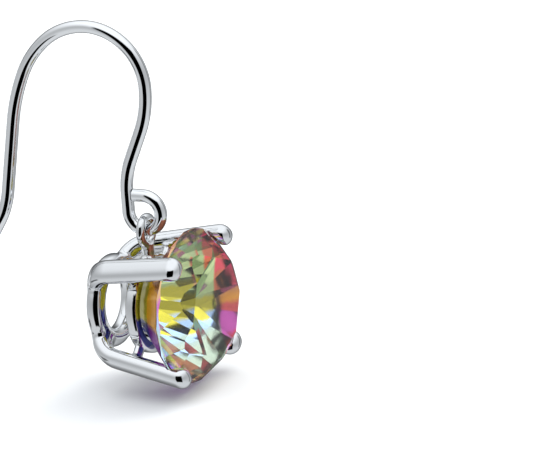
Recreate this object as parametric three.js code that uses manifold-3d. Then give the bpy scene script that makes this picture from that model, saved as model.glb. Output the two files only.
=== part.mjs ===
// Drop earring: a round-wire ear hook whose lower loop carries a four-prong basket with one brilliant-cut stone.
// Millimetres, +Z up. The origin is the underside of the hook's arch, where the ear lobe carries it.
// The stone faces -Y, the hook's tail hangs behind it at +Y, and the hook lies in the plane x = 0.
import * as THREE from "three";
import { mergeVertices } from "three/addons/utils/BufferGeometryUtils.js";
import Module from "manifold-3d";

// Ear hook
const WIRE_DIAMETER = 0.8;
const ARCH_FRONT_RADIUS = 3.8; // centreline, from the apex down to the shank
const SHANK_LEAN = 24; // degrees, how far the shank leans back under the arch
const SHANK_UPPER_RADIUS = 7;
const SHANK_LENGTH = 2;
const SHANK_LOWER_RADIUS = 5.6;
const LOOP_DROP = 1.2; // straight wire between the shank's last bend and the loop
const LOOP_BORE = 1.44; // clear diameter inside the loop
const LOOP_END_GAP = 0.06; // the wire's cut end stops this far from the shank
const TAIL_END_ROUND = 0.25; // length of the rounded nose on the tail's end
// The back leg, from the apex to the tail: each row is a bend and the straight wire after it.
const BACK_LEG = [
  { radius: 4.6, degrees: 40, straight: 0 },
  { radius: 6.5, degrees: 25, straight: 0 },
  { radius: 13, degrees: 15, straight: 4.6 },
  { radius: 6, degrees: -22, straight: 1.2 },
];

// Stone, a round brilliant. Depths run back from the girdle's front edge.
const STONE_DIAMETER = 9.7;
const TABLE_DIAMETER = 6.6; // across the octagon's corners
const CROWN_ANGLE = 44;
const STAR_ANGLE = 29;
const UPPER_GIRDLE_ANGLE = 50;
const GIRDLE_THICKNESS = 0.3;
const PAVILION_ANGLE = 41.5;
const LOWER_GIRDLE_ANGLE = 42.6;
const MAIN_FACETS = 8;

// Basket setting
const PRONGS = 4;
const PRONG_WIDTH = 1.53;
const PRONG_THICKNESS = 1.1;
const PRONG_SQUARENESS = 2.5; // exponent of the section's superellipse
const PRONG_TILT = 12; // degrees that each prong leans out towards its tip
const PRONG_OFFSET = 0.21; // prong centreline outside the girdle's edge, at the tip
const PRONG_REACH = 0.4; // tip centre in front of the girdle's front edge
const TIP_LENGTH = 0.7;
const TIP_BULGE = 0.14; // extra thickness of the tip, towards the stone
const SEAT_CLEARANCE = 0.06;
const BACK_DEPTH = 5.73; // centre of the back ring, behind the girdle's front edge
const BACK_RING_RADIUS = 2.35; // centreline
const BACK_RING_WIDTH = 1.2;
const BACK_RING_THICKNESS = 1.1;
const GALLERY_DEPTH = 2.55; // front of the gallery ring, behind the girdle's front edge
const GALLERY_HEIGHT = 0.82;
const GALLERY_WALL = 0.72;
const GALLERY_CLEARANCE = 0.1;
const GALLERY_SQUARENESS = 4; // exponent of its section
const WEB_WIDTH = 0.8;
const WEB_INSET = 0.15; // the web is this much lower than the ring on each side

// Bail on top of the gallery ring
const BAIL_WIRE = 0.55;
const BAIL_SIDE_CLEARANCE = 0.15; // beside the hook wire that passes through it
const BAIL_STAND = 0.53; // the bail's lowest point above the gallery ring's top
const BAIL_FOOT_DIAMETER = 0.8;
const HANG_CLEARANCE = 0.12; // between the bail and the loop it hangs on

// Facets of the round forms
const WIRE_SIDES = 16;
const BEND_STEP = 10; // degrees of bend from one section to the next
const PRONG_SIDES = 20;
const TIP_STEPS = 5;
const RING_STEPS = 48;
const RING_SIDES = 16;
const BAIL_STEPS = 30;
const BAIL_SIDES = 14;
const GIRDLE_SIDES = 96;

const SILVER = { color: 0xd2d5d9, roughness: 0.12, metalness: 1 };
const CUT_STONE = { color: 0x9aa86a, roughness: 0.03, metalness: 0 };

const wasm = await Module();
wasm.setup();

const rad = THREE.MathUtils.degToRad;
const FULL_TURN = 2 * Math.PI;
const RIGHT_ANGLE = 90;
const at = (x, y, z) => new THREE.Vector3(x, y, z);

// The closed solid of a geometry, with equal vertices joined.
function solidOf(geometry) {
  const bare = geometry.clone();
  bare.deleteAttribute("normal");
  bare.deleteAttribute("uv");
  const joined = mergeVertices(bare);
  return new wasm.Manifold(
    new wasm.Mesh({
      numProp: 3,
      vertProperties: joined.attributes.position.array,
      triVerts: new Uint32Array(joined.index.array),
    }),
  );
}

function geometryOf(solid) {
  const mesh = solid.getMesh();
  const geometry = new THREE.BufferGeometry();
  geometry.setAttribute("position", new THREE.BufferAttribute(mesh.vertProperties, mesh.numProp));
  geometry.setIndex(new THREE.BufferAttribute(mesh.triVerts, 1));
  return geometry;
}

// A skin over rings of points, each ring with as many points. A closed run joins its last ring to its first.
function skin(rings, closed) {
  const sides = rings[0].length;
  const points = rings.flat();
  const faces = [];
  const quad = (a, b, i) => {
    const j = (i + 1) % sides;
    faces.push([a + i, b + j, a + j], [a + i, b + i, b + j]);
  };
  const cap = (ring, first, flip) => {
    const middle = points.length;
    points.push(ring.reduce((sum, p) => sum.add(p), at(0, 0, 0)).divideScalar(sides));
    for (let i = 0; i < sides; i++) {
      const j = (i + 1) % sides;
      faces.push(flip ? [middle, first + j, first + i] : [middle, first + i, first + j]);
    }
  };
  const bands = closed ? rings.length : rings.length - 1;
  for (let k = 0; k < bands; k++) {
    const next = ((k + 1) % rings.length) * sides;
    for (let i = 0; i < sides; i++) quad(k * sides, next, i);
  }
  if (!closed) {
    cap(rings[0], 0, false);
    cap(rings[rings.length - 1], (rings.length - 1) * sides, true);
  }
  const geometry = new THREE.BufferGeometry();
  const corners = points.flatMap((p) => [p.x, p.y, p.z]);
  const volume = faces.reduce((sum, [a, b, c]) => {
    const normal = points[b].clone().cross(points[c]);
    return sum + points[a].dot(normal);
  }, 0);
  const outward = volume > 0 ? faces : faces.map(([a, b, c]) => [a, c, b]);
  geometry.setAttribute("position", new THREE.Float32BufferAttribute(corners, 3));
  geometry.setIndex(outward.flat());
  return solidOf(geometry);
}

// One ring of a sweep: a superellipse of half-sizes u and v about a centre.
function section(centre, u, v, halfU, halfV, squareness, sides) {
  const ring = [];
  for (let i = 0; i < sides; i++) {
    const angle = (FULL_TURN * i) / sides;
    const c = Math.cos(angle);
    const s = Math.sin(angle);
    const reach = (Math.abs(c) ** squareness + Math.abs(s) ** squareness) ** (-1 / squareness);
    ring.push(
      centre
        .clone()
        .addScaledVector(u, halfU * reach * c)
        .addScaledVector(v, halfV * reach * s),
    );
  }
  return ring;
}

const ROUND = 2; // exponent of a plain ellipse

// Follows rows of bends and straights in a plane. Heading 0 runs along `along`, and a positive bend turns to `down`.
function follow(start, rows, along, down, heading) {
  const stations = [{ centre: start.clone(), heading }];
  const direction = (degrees) =>
    along.clone().multiplyScalar(Math.cos(rad(degrees))).addScaledVector(down, Math.sin(rad(degrees)));
  const last = () => stations[stations.length - 1];
  for (const { radius, degrees, straight } of rows) {
    const steps = Math.ceil(Math.abs(degrees) / BEND_STEP);
    for (let i = 0; i < steps; i++) {
      const step = degrees / steps;
      const chord = 2 * radius * Math.sin(rad(Math.abs(step) / 2));
      const { centre, heading: before } = last();
      const middle = direction(before + step / 2);
      stations.push({ centre: centre.clone().addScaledVector(middle, chord), heading: before + step });
    }
    if (straight > 0) {
      const { centre, heading: now } = last();
      stations.push({ centre: centre.clone().addScaledVector(direction(now), straight), heading: now });
    }
  }
  return stations.map((s) => ({ ...s, forward: direction(s.heading) }));
}

// Rings of round wire square to each station of a run that lies in a plane with the given normal.
function wireRings(stations, diameter, normal, sides) {
  return stations.map(({ centre, forward }) => {
    const across = normal.clone().cross(forward);
    return section(centre, normal, across, diameter / 2, diameter / 2, ROUND, sides);
  });
}

// Ear hook
const X = at(1, 0, 0);
const Y = at(0, 1, 0);
const Z = at(0, 0, 1);
const apex = at(0, 0, WIRE_DIAMETER / 2);
const loopRadius = (LOOP_BORE + WIRE_DIAMETER) / 2;
const loopClosing = loopRadius - WIRE_DIAMETER / 2 - LOOP_END_GAP;
const shankRows = [
  { radius: ARCH_FRONT_RADIUS, degrees: RIGHT_ANGLE, straight: 0 },
  { radius: SHANK_UPPER_RADIUS, degrees: SHANK_LEAN, straight: SHANK_LENGTH },
  { radius: SHANK_LOWER_RADIUS, degrees: -SHANK_LEAN, straight: LOOP_DROP },
];
const loopRows = [{ radius: loopRadius, degrees: -3 * RIGHT_ANGLE, straight: loopClosing }];
const forwards = Y.clone().negate();
const downwards = Z.clone().negate();
const shank = follow(apex, shankRows, forwards, downwards, 0);
const loopStart = shank[shank.length - 1];
const loop = follow(loopStart.centre, loopRows, forwards, downwards, loopStart.heading);
const backLeg = follow(apex, BACK_LEG, Y, downwards, 0);
const tail = backLeg[backLeg.length - 1];
const loopCentre = loopStart.centre.clone().addScaledVector(forwards, loopRadius);

function earHook() {
  const backwards = backLeg
    .slice(1)
    .reverse()
    .map((s) => ({ ...s, forward: s.forward.clone().negate() }));
  const wire = wireRings([...backwards, ...shank, ...loop.slice(1)], WIRE_DIAMETER, X, WIRE_SIDES);
  const nose = [];
  for (let i = 1; i <= TIP_STEPS; i++) {
    const angle = rad((RIGHT_ANGLE * i) / (TIP_STEPS + 1));
    const centre = tail.centre.clone().addScaledVector(tail.forward, TAIL_END_ROUND * Math.sin(angle));
    const half = (WIRE_DIAMETER / 2) * Math.cos(angle);
    const across = X.clone().cross(tail.forward.clone().negate());
    nose.unshift(section(centre, X, across, half, half, ROUND, WIRE_SIDES));
  }
  return skin([...nose, ...wire], false);
}

// Stone: a round blank cut by one plane for each facet. `grow` moves every plane outwards.
const stoneRadius = STONE_DIAMETER / 2;
const tableRadius = TABLE_DIAMETER / 2;
const tableDepth = -(stoneRadius - tableRadius) * Math.tan(rad(CROWN_ANGLE));
const culetDepth = GIRDLE_THICKNESS + stoneRadius * Math.tan(rad(PAVILION_ANGLE));
const facetTurn = 360 / MAIN_FACETS;
const halfTurn = facetTurn / 2;
const quarterTurn = facetTurn / 4;

function cutStone(grow) {
  const blankFront = tableDepth - stoneRadius;
  const blankBack = culetDepth + stoneRadius;
  const blankRadius = stoneRadius + grow;
  const block = 8 * stoneRadius; // the cutters are larger than the blank
  const cutter = (azimuth, slope, radius, depth) => {
    const outward = at(
      Math.cos(rad(azimuth)) * Math.sin(rad(slope)),
      Math.cos(rad(slope)),
      Math.sin(rad(azimuth)) * Math.sin(rad(slope)),
    );
    const onPlane = at(radius * Math.cos(rad(azimuth)), depth, radius * Math.sin(rad(azimuth)));
    const box = new THREE.BoxGeometry(block, block, block);
    box.translate(0, block / 2, 0);
    box.applyQuaternion(new THREE.Quaternion().setFromUnitVectors(Y, outward));
    onPlane.addScaledVector(outward, grow);
    box.translate(onPlane.x, onPlane.y, onPlane.z);
    return solidOf(box);
  };
  const blank = new THREE.CylinderGeometry(blankRadius, blankRadius, blankBack - blankFront, GIRDLE_SIDES);
  blank.translate(0, (blankFront + blankBack) / 2, 0);
  const tableEdge = tableRadius * Math.cos(rad(halfTurn));
  const girdleChord = stoneRadius * Math.cos(rad(quarterTurn));
  const front = (slope) => 180 - slope;
  const cuts = [cutter(0, front(0), 0, tableDepth)];
  for (let k = 0; k < MAIN_FACETS; k++) {
    const azimuth = k * facetTurn;
    cuts.push(cutter(azimuth, front(CROWN_ANGLE), stoneRadius, 0));
    cuts.push(cutter(azimuth + halfTurn, front(STAR_ANGLE), tableEdge, tableDepth));
    cuts.push(cutter(azimuth, PAVILION_ANGLE, stoneRadius, GIRDLE_THICKNESS));
    for (const side of [-quarterTurn, quarterTurn]) {
      cuts.push(cutter(azimuth + side, front(UPPER_GIRDLE_ANGLE), girdleChord, 0));
      cuts.push(cutter(azimuth + side, LOWER_GIRDLE_ANGLE, girdleChord, GIRDLE_THICKNESS));
    }
  }
  return cuts.reduce((stone, cut) => stone.subtract(cut), solidOf(blank));
}

// Basket setting, about the same centre as the stone
const tipRadial = stoneRadius + PRONG_OFFSET;
const pavilionShare = 1 - (GALLERY_DEPTH - GIRDLE_THICKNESS) / (culetDepth - GIRDLE_THICKNESS);
const galleryInner = stoneRadius * pavilionShare + GALLERY_CLEARANCE;
const galleryOuter = galleryInner + GALLERY_WALL;
const galleryMiddle = GALLERY_DEPTH + GALLERY_HEIGHT / 2;

// The prong runs straight from its tip and then bends to end on the back ring's centreline.
const lean = Math.tan(rad(PRONG_TILT));
const bendShare = 1 - Math.sin(rad(PRONG_TILT));
const prongDepth = BACK_DEPTH + PRONG_REACH;
const bendReach = tipRadial - BACK_RING_RADIUS - prongDepth * lean;
const prongBend = bendReach / (Math.cos(rad(PRONG_TILT)) - lean * bendShare);
const prongLength = (prongDepth - prongBend * bendShare) / Math.cos(rad(PRONG_TILT));

function prong(azimuth) {
  const radial = at(Math.cos(rad(azimuth)), 0, Math.sin(rad(azimuth)));
  const inwards = radial.clone().negate();
  const across = radial.clone().cross(Y);
  const tip = radial.clone().multiplyScalar(tipRadial).addScaledVector(Y, -PRONG_REACH);
  const straight = { radius: prongBend, degrees: 0, straight: prongLength };
  const bend = { radius: prongBend, degrees: RIGHT_ANGLE - PRONG_TILT, straight: 0 };
  const run = follow(tip, [straight, bend], Y, inwards, PRONG_TILT);
  const rings = run.map(({ centre, forward }) => {
    const normal = forward.clone().cross(across);
    return section(centre, across, normal, PRONG_WIDTH / 2, PRONG_THICKNESS / 2, PRONG_SQUARENESS, PRONG_SIDES);
  });
  const { centre, forward } = run[0];
  const normal = forward.clone().cross(across);
  const inner = Math.sign(normal.dot(inwards));
  const cap = [];
  for (let i = 1; i <= TIP_STEPS; i++) {
    const angle = rad((RIGHT_ANGLE * i) / (TIP_STEPS + 1));
    const share = Math.cos(angle);
    const bulge = (TIP_BULGE * Math.min(i, 2)) / 2;
    const middle = centre
      .clone()
      .addScaledVector(forward, -TIP_LENGTH * Math.sin(angle))
      .addScaledVector(normal, (inner * bulge) / 2);
    const halfThick = ((PRONG_THICKNESS + bulge) / 2) * share;
    cap.unshift(section(middle, across, normal, (PRONG_WIDTH / 2) * share, halfThick, PRONG_SQUARENESS, PRONG_SIDES));
  }
  return skin([...cap, ...rings], false);
}

// A closed ring in a plane square to Y, about a centre
function closedRing(centre, radius, width, thickness, squareness, steps, sides) {
  const rings = [];
  for (let i = 0; i < steps; i++) {
    const angle = (FULL_TURN * i) / steps;
    const radial = at(Math.cos(angle), 0, Math.sin(angle));
    const middle = centre.clone().addScaledVector(radial, radius);
    rings.push(section(middle, radial, Y, width / 2, thickness / 2, squareness, sides));
  }
  return skin(rings, true);
}

// A web between the gallery ring and one prong
function web(azimuth) {
  const prongRadial = tipRadial - (galleryMiddle + PRONG_REACH) * lean;
  const start = (galleryInner + galleryOuter) / 2;
  const box = new THREE.BoxGeometry(prongRadial - start, GALLERY_HEIGHT - 2 * WEB_INSET, WEB_WIDTH);
  box.translate((start + prongRadial) / 2, galleryMiddle, 0);
  box.rotateY(-rad(azimuth));
  return solidOf(box);
}

const bailRadius = (WIRE_DIAMETER + BAIL_WIRE) / 2 + BAIL_SIDE_CLEARANCE;
const bailHeight = galleryOuter + BAIL_STAND + bailRadius + BAIL_WIRE / 2;

function bail() {
  const centre = at(0, galleryMiddle, bailHeight);
  const ring = closedRing(centre, bailRadius, BAIL_WIRE, BAIL_WIRE, ROUND, BAIL_STEPS, BAIL_SIDES);
  const footBottom = (galleryInner + galleryOuter) / 2;
  const footTop = bailHeight - bailRadius;
  const foot = [footBottom, footTop].map((z) =>
    section(at(0, galleryMiddle, z), X, Y, BAIL_FOOT_DIAMETER / 2, BAIL_FOOT_DIAMETER / 2, ROUND, BAIL_SIDES),
  );
  return ring.add(skin(foot, false));
}

function basketSetting() {
  const backRing = closedRing(
    at(0, BACK_DEPTH, 0),
    BACK_RING_RADIUS,
    BACK_RING_WIDTH,
    BACK_RING_THICKNESS,
    PRONG_SQUARENESS,
    RING_STEPS,
    RING_SIDES,
  );
  const galleryRing = closedRing(
    at(0, galleryMiddle, 0),
    (galleryInner + galleryOuter) / 2,
    GALLERY_WALL,
    GALLERY_HEIGHT,
    GALLERY_SQUARENESS,
    RING_STEPS,
    RING_SIDES,
  );
  let metal = backRing.add(galleryRing).add(bail());
  for (let k = 0; k < PRONGS; k++) {
    const azimuth = ((k + 1 / 2) * 360) / PRONGS;
    metal = metal.add(prong(azimuth)).add(web(azimuth));
  }
  return metal.subtract(cutStone(SEAT_CLEARANCE));
}

// The drop hangs with the bail's upper wire just above the loop's lowest wire.
const hangHeight = loopCentre.z - LOOP_BORE / 2 + HANG_CLEARANCE + BAIL_WIRE / 2;
const dropCentre = at(0, loopCentre.y - galleryMiddle, hangHeight - bailRadius - bailHeight);

const earring = new THREE.Group();
function addPiece(name, solid, look, place) {
  const mesh = new THREE.Mesh(geometryOf(solid), new THREE.MeshStandardMaterial(look));
  mesh.name = name;
  mesh.position.copy(place);
  earring.add(mesh);
}
addPiece("ear_hook", earHook(), SILVER, at(0, 0, 0));
addPiece("basket_setting", basketSetting(), SILVER, dropCentre);
addPiece("stone", cutStone(0), CUT_STONE, dropCentre);

export default earring;
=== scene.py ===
# %% [markdown]
# # A drop earring, dressed in Blender
#
# The earring is an ear hook of round silver wire. Its lower end curls into a loop, and a small ring, the
# bail, hangs in that loop. The bail stands on a cast four-prong basket, which grips one large
# brilliant-cut stone with a coloured film on its back facets.
#
# The CAD model already fixes every size. This notebook loads it as a frame, rebuilds each piece with
# smooth surfaces in the same place, and gives it the finish of polished silver or cut stone.

import math

import bmesh
import bpy
import numpy as np
from mathutils import Matrix, Vector


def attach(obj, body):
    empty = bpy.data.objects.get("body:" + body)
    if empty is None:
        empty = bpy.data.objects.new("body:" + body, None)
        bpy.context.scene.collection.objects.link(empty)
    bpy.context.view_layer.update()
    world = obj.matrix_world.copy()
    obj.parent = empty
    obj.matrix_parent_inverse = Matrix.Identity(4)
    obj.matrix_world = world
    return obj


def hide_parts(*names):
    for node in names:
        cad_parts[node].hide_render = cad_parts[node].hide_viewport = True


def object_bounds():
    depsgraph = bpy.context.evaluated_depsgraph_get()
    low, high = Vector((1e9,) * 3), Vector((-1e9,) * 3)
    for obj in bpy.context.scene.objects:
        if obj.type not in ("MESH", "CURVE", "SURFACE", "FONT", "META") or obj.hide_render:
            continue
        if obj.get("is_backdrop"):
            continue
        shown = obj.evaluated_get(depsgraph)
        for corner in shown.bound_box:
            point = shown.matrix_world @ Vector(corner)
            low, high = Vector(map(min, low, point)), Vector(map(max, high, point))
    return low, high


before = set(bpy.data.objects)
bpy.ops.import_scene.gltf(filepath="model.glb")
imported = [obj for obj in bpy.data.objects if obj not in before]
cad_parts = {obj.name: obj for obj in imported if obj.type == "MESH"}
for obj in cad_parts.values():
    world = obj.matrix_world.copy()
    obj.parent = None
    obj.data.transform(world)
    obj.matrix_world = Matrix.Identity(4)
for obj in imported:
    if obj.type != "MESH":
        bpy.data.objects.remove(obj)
cad_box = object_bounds()
MM = 0.001  # the sizes below are written in millimetres, and Blender works in metres
print("CAD box in mm:", [[round(float(v) / MM, 2) for v in corner] for corner in cad_box])

# %% [markdown]
# ## The camera
#
# The picture has no visible perspective, so it was taken from far off with a long lens. The camera
# stands to the left of the earring and a little above it, and it is rolled by a few degrees, so that
# the hook leans left. Its three directions come from one azimuth, one elevation and one roll, so the
# view can be changed by changing a number. The aim is the point that lands in the middle of the frame.

# %% The camera
AZIMUTH = math.radians(-62.64)
ELEVATION = math.radians(17.52)
ROLL = math.radians(4.87)
DISTANCE = 0.7  # metres
PICTURE_WIDTH = 550  # pixels
PIXELS_PER_MM = 16.06
FRAME_WIDTH = PICTURE_WIDTH / PIXELS_PER_MM * MM  # what the frame shows across, at the earring
SENSOR = 36.0
AIM = Vector((3.51, -10.22, -13.04)) * MM

backwards = Vector(
    (
        math.sin(AZIMUTH) * math.cos(ELEVATION),
        -math.cos(AZIMUTH) * math.cos(ELEVATION),
        math.sin(ELEVATION),
    )
)
level_right = Vector((0, 0, 1)).cross(backwards).normalized()
level_up = backwards.cross(level_right)
right = level_right * math.cos(ROLL) - level_up * math.sin(ROLL)
up = level_up * math.cos(ROLL) + level_right * math.sin(ROLL)
camera_turn = Matrix((right, up, backwards)).transposed().to_4x4()

camera_data = bpy.data.cameras.new("camera")
camera_data.lens = SENSOR * DISTANCE / FRAME_WIDTH
camera_data.sensor_width = SENSOR
camera_data.clip_start = 0.01
camera_data.clip_end = 20
camera = bpy.data.objects.new("camera", camera_data)
bpy.context.collection.objects.link(camera)
camera.matrix_world = Matrix.Translation(AIM + backwards * DISTANCE) @ camera_turn
bpy.context.scene.camera = camera
print("lens", round(camera_data.lens), "mm at", DISTANCE, "m")

# %% [markdown]
# ## The floor
#
# A pale floor lies just under the stone and catches its shadow. The polished metal would mirror every
# bit of it, so the floor is hidden from mirror rays and from rays that come through the stone. The
# studio around the earring gives all the reflections instead.

# %% The floor
FLOOR_GAP = 0.45 * MM
FLOOR_HALF = 3.0  # metres
PAPER_COLOUR = (0.9, 0.905, 0.91)
PAPER_ROUGHNESS = 0.9


def plain_material(name, colour, roughness):
    material = bpy.data.materials.new(name)
    material.use_nodes = True
    shader = material.node_tree.nodes["Principled BSDF"]
    shader.inputs["Base Color"].default_value = (*colour, 1)
    shader.inputs["Roughness"].default_value = roughness
    return material


def mesh_object(name, vertices, faces, material):
    mesh = bpy.data.meshes.new(name)
    mesh.from_pydata([tuple(v) for v in vertices], [], faces)
    mesh.update()
    mesh.materials.append(material)
    piece = bpy.data.objects.new(name, mesh)
    bpy.context.collection.objects.link(piece)
    return piece


floor_level = float(cad_box[0][2]) - FLOOR_GAP
corners = [(-1, -1), (1, -1), (1, 1), (-1, 1)]
floor = mesh_object(
    "floor",
    [(x * FLOOR_HALF, y * FLOOR_HALF, floor_level) for x, y in corners],
    [(0, 1, 2, 3)],
    plain_material("pale_paper", PAPER_COLOUR, PAPER_ROUGHNESS),
)
floor.visible_glossy = False
floor.visible_transmission = False
floor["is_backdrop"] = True
print("floor at", round(floor_level / MM, 2), "mm")

# %% [markdown]
# ## The studio
#
# Silver has no colour of its own to speak of: it looks like what stands round it. A jewellery
# photographer puts the piece in a white tent, which gives the pale grey metal, and dark cards in the
# tent give the thin black lines that make the metal read as metal. So the world's shader works out an
# azimuth and an elevation from the direction that a ray takes, and makes a tent, a few dark cards, one
# bright gap and a dim wall behind the earring from them.
#
# A photographer can also light each thing by itself, with small lamps and flags. Here the Light Path
# node does that: the camera sees a white backdrop, light that comes through the stone is stronger and
# meets weaker cards, and light on the paper is stronger too.

# %% The tent and its cards
CARDS = [
    # angles in degrees, width and height from the middle to the edge; a darkness below 0 is a bright gap
    {"azimuth": -76, "elevation": -7, "wide": 35, "high": 41, "dark": 1.0},
    {"azimuth": 40, "elevation": 0, "wide": 8, "high": 34, "dark": 0.7},
    {"azimuth": -170, "elevation": -32, "wide": 16, "high": 7, "dark": 0.8},
    {"azimuth": 150, "elevation": -18, "wide": 12, "high": 16, "dark": -2.6},
]
EDGE = math.radians(3)
TENT_COLOUR = (0.94, 0.972, 1.0, 1)
TENT_TOP, TENT_SIDE, TENT_FLOOR = 1.1, 0.5, 0.72  # strengths
HIGH_UP, LEVEL, LOW_DOWN = math.radians(60), math.radians(5), math.radians(-50)  # elevations of the three
BACK_WALL = 0.22  # what the dim wall leaves of the light
BACK_WALL_CORE, BACK_WALL_EDGE = 0.97, math.cos(math.radians(66))  # cosines from the line of sight
BACKDROP = 0.98
THROUGH_STONE = 1.75
ON_THE_FLOOR = 1.45
CARDS_THROUGH_STONE = 0.3

world = bpy.data.worlds.new("studio")
bpy.context.scene.world = world
world.use_nodes = True
tree = world.node_tree
tree.nodes.clear()


def add_node(tree, kind, **settings):
    node = tree.nodes.new(kind)
    for name, value in settings.items():
        setattr(node, name, value)
    return node


def put(tree, value, socket):
    if isinstance(value, bpy.types.NodeSocket):
        tree.links.new(value, socket)
    else:
        socket.default_value = value


def maths(tree, operation, first, second=0.0):
    node = add_node(tree, "ShaderNodeMath", operation=operation)
    put(tree, first, node.inputs[0])
    put(tree, second, node.inputs[1])
    return node.outputs[0]


def ramp(tree, value, low, high, at_low, at_high, kind="SMOOTHSTEP"):
    """Takes a value from one range to another. SMOOTHSTEP eases in and out, and LINEAR doesn't."""
    node = add_node(tree, "ShaderNodeMapRange", interpolation_type=kind)
    ranges = {"Value": value, "From Min": low, "From Max": high, "To Min": at_low, "To Max": at_high}
    for name, given in ranges.items():
        put(tree, given, node.inputs[name])
    return node.outputs["Result"]


direction = add_node(tree, "ShaderNodeTexCoord").outputs["Generated"]
split = add_node(tree, "ShaderNodeSeparateXYZ")
tree.links.new(direction, split.inputs[0])
east, north, height = split.outputs
azimuth = maths(tree, "ARCTAN2", east, maths(tree, "MULTIPLY", north, -1.0))
elevation = maths(tree, "ARCSINE", height)

light = ramp(tree, elevation, LOW_DOWN, LEVEL, TENT_FLOOR, TENT_SIDE)
light = maths(tree, "MAXIMUM", light, ramp(tree, elevation, LEVEL, HIGH_UP, TENT_SIDE, TENT_TOP))
path = add_node(tree, "ShaderNodeLightPath")
through = maths(tree, "MINIMUM", path.outputs["Transmission Depth"], 1.0)
card_strength = ramp(tree, through, 0.0, 1.0, 1.0, CARDS_THROUGH_STONE)
for card in CARDS:
    turn = maths(tree, "SUBTRACT", azimuth, math.radians(card["azimuth"]))
    aside = maths(tree, "ARCCOSINE", maths(tree, "COSINE", turn))
    above = maths(tree, "ABSOLUTE", maths(tree, "SUBTRACT", elevation, math.radians(card["elevation"])))
    wide, high = math.radians(card["wide"]), math.radians(card["high"])
    across = ramp(tree, aside, wide - EDGE, wide + EDGE, 1.0, 0.0)
    upright = ramp(tree, above, high - EDGE, high + EDGE, card["dark"], 0.0)
    shade = maths(tree, "MULTIPLY", maths(tree, "MULTIPLY", across, upright), card_strength)
    light = maths(tree, "MULTIPLY", light, maths(tree, "SUBTRACT", 1.0, shade))
away = add_node(tree, "ShaderNodeVectorMath", operation="DOT_PRODUCT")
tree.links.new(direction, away.inputs[0])
away.inputs[1].default_value = -backwards
for factor in (
    ramp(tree, away.outputs["Value"], BACK_WALL_EDGE, BACK_WALL_CORE, 1.0, BACK_WALL),
    ramp(tree, through, 0.0, 1.0, 1.0, THROUGH_STONE),
    ramp(tree, path.outputs["Is Diffuse Ray"], 0.0, 1.0, 1.0, ON_THE_FLOOR),
):
    light = maths(tree, "MULTIPLY", light, factor)

tent = add_node(tree, "ShaderNodeBackground")
tree.links.new(light, tent.inputs["Strength"])
tent.inputs["Color"].default_value = TENT_COLOUR
backdrop = add_node(tree, "ShaderNodeBackground")
backdrop.inputs["Color"].default_value = (1, 1, 1, 1)
backdrop.inputs["Strength"].default_value = BACKDROP
mix = add_node(tree, "ShaderNodeMixShader")
tree.links.new(path.outputs["Is Camera Ray"], mix.inputs[0])
tree.links.new(tent.outputs[0], mix.inputs[1])
tree.links.new(backdrop.outputs[0], mix.inputs[2])
tree.links.new(mix.outputs[0], add_node(tree, "ShaderNodeOutputWorld").inputs[0])
bpy.context.scene.view_settings.view_transform = "Standard"
print(len(CARDS), "cards and gaps in the tent,", len(tree.nodes), "nodes in its shader")

# %% [markdown]
# ## The lamp
#
# One large soft lamp hangs above, to the right and a little behind, so that the shadow on the floor
# falls to the lower left of the earring, as it does in the picture. Mirror rays and rays through the
# stone don't see it, because the tent has its own bright top.

# %% The lamp
LAMP_PLACE = Vector((150, -95, 180)) * MM
LAMP_AIM = Vector((0, -4, -20)) * MM
LAMP_SIZE = 210 * MM
LAMP_WATTS = 0.34
LAMP_COLOUR = (1.0, 0.97, 0.92)

lamp_data = bpy.data.lights.new("soft_lamp", "AREA")
lamp_data.shape = "DISK"
lamp_data.size = LAMP_SIZE
lamp_data.energy = LAMP_WATTS
lamp_data.color = LAMP_COLOUR
lamp = bpy.data.objects.new("soft_lamp", lamp_data)
bpy.context.collection.objects.link(lamp)
lamp_turn = (LAMP_PLACE - LAMP_AIM).to_track_quat("Z", "Y").to_matrix().to_4x4()
lamp.matrix_world = Matrix.Translation(LAMP_PLACE) @ lamp_turn
lamp.visible_glossy = False
lamp.visible_transmission = False
print("lamp", LAMP_WATTS, "W")

# %% [markdown]
# ## Polished silver
#
# Silver jewellery is plated bright, then buffed. What the eye sees is a mirror with faint swirls: the
# buffing leaves very fine scratches that soften the reflection here and there, and a cast piece keeps
# a slight waviness under its polish. Both come from noise on the object's own coordinates. Drawn wire
# is smoother and a little brighter than the casting, so each has a finish of its own.

# %% Silver
BUFFED = {
    "name": "buffed_silver",
    "colour": (0.95, 0.96, 0.975),
    "smooth": 0.01,
    "dull": 0.05,
    "wave": 0.02,
    "wave_size": 1.6,
}
CAST = {
    "name": "cast_silver",
    "colour": (0.86, 0.87, 0.885),
    "smooth": 0.04,
    "dull": 0.12,
    "wave": 0.06,
    "wave_size": 1.1,
}
BUFFING_PER_MM, BUFFING_DETAIL = 2.5, 4.0
BUFFING_LOW, BUFFING_HIGH = 0.35, 0.75  # the part of the noise that goes from smooth to dull
WAVE_DEPTH = 0.1 * MM


def noise(tree, coordinates, per_mm, detail):
    node = add_node(tree, "ShaderNodeTexNoise")
    tree.links.new(coordinates, node.inputs["Vector"])
    node.inputs["Scale"].default_value = per_mm / MM
    node.inputs["Detail"].default_value = detail
    return node.outputs["Fac"]


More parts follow.
